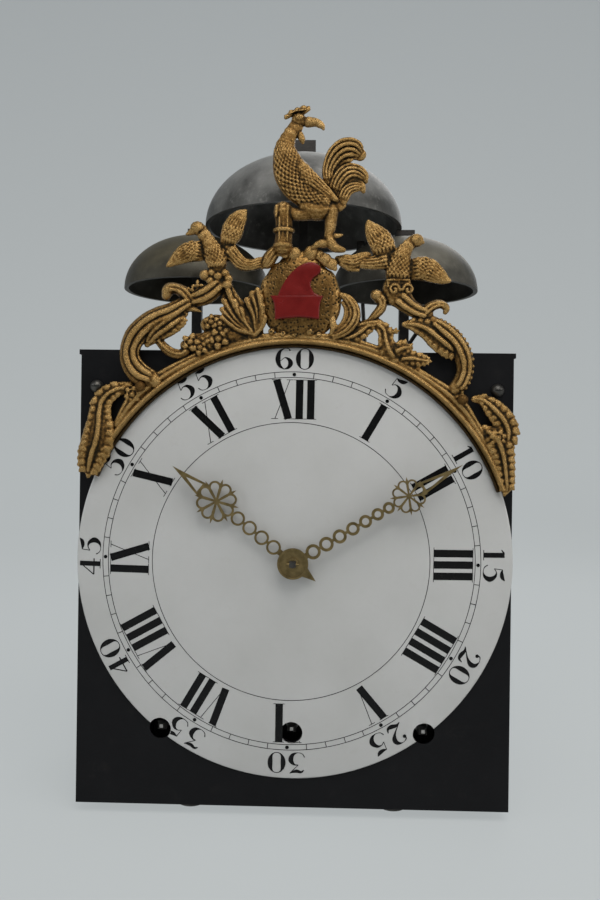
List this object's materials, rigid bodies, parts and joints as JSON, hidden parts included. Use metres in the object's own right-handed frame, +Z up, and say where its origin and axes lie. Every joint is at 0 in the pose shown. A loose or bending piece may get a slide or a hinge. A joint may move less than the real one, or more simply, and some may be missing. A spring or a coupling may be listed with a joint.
{
  "type": "comtoise clock",
  "caption": "Iron-cage wall clock movement with a domed enamel dial, pierced brass hands, a cast brass pediment with a rooster and bells on posts.",
  "frame": {"origin": "middle of the bottom plate's underside", "axes": "+X to the right seen from the front, +Y to the back, +Z up; the dial faces -Y"},
  "size_m": [0.2768, 0.1664, 0.4524],
  "materials": {
    "black_iron": "satin black paint on sheet iron",
    "forged_iron": "dark forged iron",
    "dark_steel": "aged steel",
    "brass": "old turned brass",
    "hand_brass": "pierced brass with brown patina",
    "enamel": "white vitreous enamel, printed in black",
    "bell_metal": "grey mottled bell metal",
    "gilt_brass": "gilt cast brass, worn",
    "red_paint": "red paint on brass"
  },
  "bodies": {
    "cage": {"bottom_plate": "black_iron", "top_plate": "black_iron", "corner_pillars": "black_iron", "front_bars": "forged_iron", "rear_bars": "forged_iron", "pivot_bushes": "brass", "front_sheet": "black_iron", "back_plate": "black_iron", "sheet_screws": "dark_steel", "feet": "dark_steel", "suspension_cock": "forged_iron", "minute_wheel_stud": "dark_steel", "dial": "enamel", "big_bell": "bell_metal", "left_bell": "bell_metal", "right_bell": "bell_metal", "bell_posts": "forged_iron", "bell_nuts": "forged_iron", "pediment": "gilt_brass", "pediment_rivets": "gilt_brass", "rooster": "gilt_brass", "medallion_cap": "red_paint"},
    "minute": {"centre_arbor": "dark_steel", "centre_wheel": "brass", "minute_hand": "hand_brass", "hand_collet": "hand_brass"},
    "hour": {"hour_wheel": "brass", "hour_snail": "brass", "hour_hand": "hand_brass"},
    "relay": {"minute_wheel": "brass"},
    "going_great": {"going_great_wheel": "brass"},
    "going_drum": {"going_barrel": "dark_steel"},
    "going_second": {"going_second_arbor": "dark_steel", "going_second_wheel": "brass", "motion_drive_wheel": "brass"},
    "going_third": {"going_third_arbor": "dark_steel", "going_third_wheel": "brass"},
    "escape": {"escape_arbor": "dark_steel", "escape_wheel": "brass"},
    "pallets": {"anchor": "dark_steel", "anchor_arbor": "dark_steel", "crutch": "forged_iron"},
    "left_side_door": {"left_door": "black_iron", "left_door_knob": "brass"},
    "right_side_door": {"right_door": "black_iron", "right_door_knob": "brass"},
    "left_bell_hammer": {"left_hammer": "dark_steel"},
    "right_bell_hammer": {"right_hammer": "dark_steel"},
    "big_bell_hammer": {"big_hammer": "dark_steel"},
    "quarter_great": {"quarter_great_wheel": "brass"},
    "quarter_drum": {"quarter_barrel": "dark_steel"},
    "quarter_pins": {"quarter_pin_wheel": "brass"},
    "quarter_third": {"quarter_third_wheel": "brass"},
    "quarter_brake": {"quarter_fly": "brass"},
    "strike_great": {"strike_great_wheel": "brass"},
    "strike_drum": {"strike_barrel": "dark_steel"},
    "strike_pins": {"strike_pin_wheel": "brass"},
    "strike_third": {"strike_third_wheel": "brass"},
    "strike_brake": {"strike_fly": "brass"}
  },
  "joints": [
    {"name": "minute_hand_turn", "type": "hinge", "parent": "cage", "child": "minute", "pos_m": [0, 0, 0.154], "axis": [0, 1, 0], "continuous": true},
    {"name": "hour_hand_turn", "type": "hinge", "parent": "cage", "child": "hour", "pos_m": [0, 0, 0.154], "axis": [0, 1, 0], "continuous": true},
    {"name": "minute_wheel_turn", "type": "hinge", "parent": "cage", "child": "relay", "pos_m": [0, 0, 0.186], "axis": [0, 1, 0], "continuous": true},
    {"name": "going_second_turn", "type": "hinge", "parent": "cage", "child": "going_second", "pos_m": [0, 0, 0.0904], "axis": [0, 1, 0], "continuous": true},
    {"name": "going_great_turn", "type": "hinge", "parent": "cage", "child": "going_great", "pos_m": [0, 0, 0.048], "axis": [0, 1, 0], "continuous": true},
    {"name": "going_winding", "type": "hinge", "parent": "going_great", "child": "going_drum", "pos_m": [0, 0, 0.048], "axis": [0, 1, 0], "continuous": true},
    {"name": "going_third_turn", "type": "hinge", "parent": "cage", "child": "going_third", "pos_m": [0, 0, 0.13], "axis": [0, 1, 0], "continuous": true},
    {"name": "escape_turn", "type": "hinge", "parent": "cage", "child": "escape", "pos_m": [0, 0, 0.164], "axis": [0, 1, 0], "continuous": true},
    {"name": "anchor_swing", "type": "hinge", "parent": "cage", "child": "pallets", "pos_m": [0, 0, 0.2055], "axis": [0, 1, 0], "range_deg": [-3, 3]},
    {"name": "quarter_pin_wheel_turn", "type": "hinge", "parent": "cage", "child": "quarter_pins", "pos_m": [-0.082, 0, 0.0904], "axis": [0, 1, 0], "continuous": true},
    {"name": "quarter_great_turn", "type": "hinge", "parent": "cage", "child": "quarter_great", "pos_m": [-0.082, 0, 0.048], "axis": [0, 1, 0], "continuous": true},
    {"name": "quarter_winding", "type": "hinge", "parent": "quarter_great", "child": "quarter_drum", "pos_m": [-0.082, 0, 0.048], "axis": [0, 1, 0], "continuous": true},
    {"name": "quarter_third_turn", "type": "hinge", "parent": "cage", "child": "quarter_third", "pos_m": [-0.082, 0, 0.13], "axis": [0, 1, 0], "continuous": true},
    {"name": "quarter_fly_turn", "type": "hinge", "parent": "cage", "child": "quarter_brake", "pos_m": [-0.082, 0, 0.164], "axis": [0, 1, 0], "continuous": true},
    {"name": "strike_pin_wheel_turn", "type": "hinge", "parent": "cage", "child": "strike_pins", "pos_m": [0.082, 0, 0.0904], "axis": [0, 1, 0], "continuous": true},
    {"name": "strike_great_turn", "type": "hinge", "parent": "cage", "child": "strike_great", "pos_m": [0.082, 0, 0.048], "axis": [0, 1, 0], "continuous": true},
    {"name": "strike_winding", "type": "hinge", "parent": "strike_great", "child": "strike_drum", "pos_m": [0.082, 0, 0.048], "axis": [0, 1, 0], "continuous": true},
    {"name": "strike_third_turn", "type": "hinge", "parent": "cage", "child": "strike_third", "pos_m": [0.082, 0, 0.13], "axis": [0, 1, 0], "continuous": true},
    {"name": "strike_fly_turn", "type": "hinge", "parent": "cage", "child": "strike_brake", "pos_m": [0.082, 0, 0.164], "axis": [0, 1, 0], "continuous": true},
    {"name": "left_door_hinge", "type": "hinge", "parent": "cage", "child": "left_side_door", "pos_m": [-0.132, 0.066, 0.142], "axis": [0, 0, -1], "range_deg": [0, 100]},
    {"name": "right_door_hinge", "type": "hinge", "parent": "cage", "child": "right_side_door", "pos_m": [0.132, 0.066, 0.142], "axis": [0, 0, 1], "range_deg": [0, 100]},
    {"name": "left_hammer_swing", "type": "hinge", "parent": "cage", "child": "left_bell_hammer", "pos_m": [-0.112, 0.052, 0.142], "axis": [0, 0, -1], "range_deg": [0, 14], "stiffness_Nm_per_rad": 0.05},
    {"name": "right_hammer_swing", "type": "hinge", "parent": "cage", "child": "right_bell_hammer", "pos_m": [0.07, 0.052, 0.142], "axis": [0, 0, -1], "range_deg": [0, 14], "stiffness_Nm_per_rad": 0.05},
    {"name": "big_hammer_swing", "type": "hinge", "parent": "cage", "child": "big_bell_hammer", "pos_m": [0.05, 0.052, 0.142], "axis": [0, 0, -1], "range_deg": [0, 14], "stiffness_Nm_per_rad": 0.05}
  ],
  "couplings": [
    {"joint": "hour_hand_turn", "follows": "minute_hand_turn", "ratio": 0.083333},
    {"joint": "minute_wheel_turn", "follows": "minute_hand_turn", "ratio": -0.33333},
    {"joint": "going_second_turn", "follows": "minute_hand_turn", "ratio": -1},
    {"joint": "going_great_turn", "follows": "minute_hand_turn", "ratio": 0.11111},
    {"joint": "going_third_turn", "follows": "minute_hand_turn", "ratio": 8},
    {"joint": "escape_turn", "follows": "minute_hand_turn", "ratio": -60},
    {"joint": "quarter_great_turn", "follows": "quarter_pin_wheel_turn", "ratio": -0.11111},
    {"joint": "quarter_third_turn", "follows": "quarter_pin_wheel_turn", "ratio": -8},
    {"joint": "quarter_fly_turn", "follows": "quarter_pin_wheel_turn", "ratio": 60},
    {"joint": "strike_great_turn", "follows": "strike_pin_wheel_turn", "ratio": -0.11111},
    {"joint": "strike_third_turn", "follows": "strike_pin_wheel_turn", "ratio": -8},
    {"joint": "strike_fly_turn", "follows": "strike_pin_wheel_turn", "ratio": 60}
  ]
}
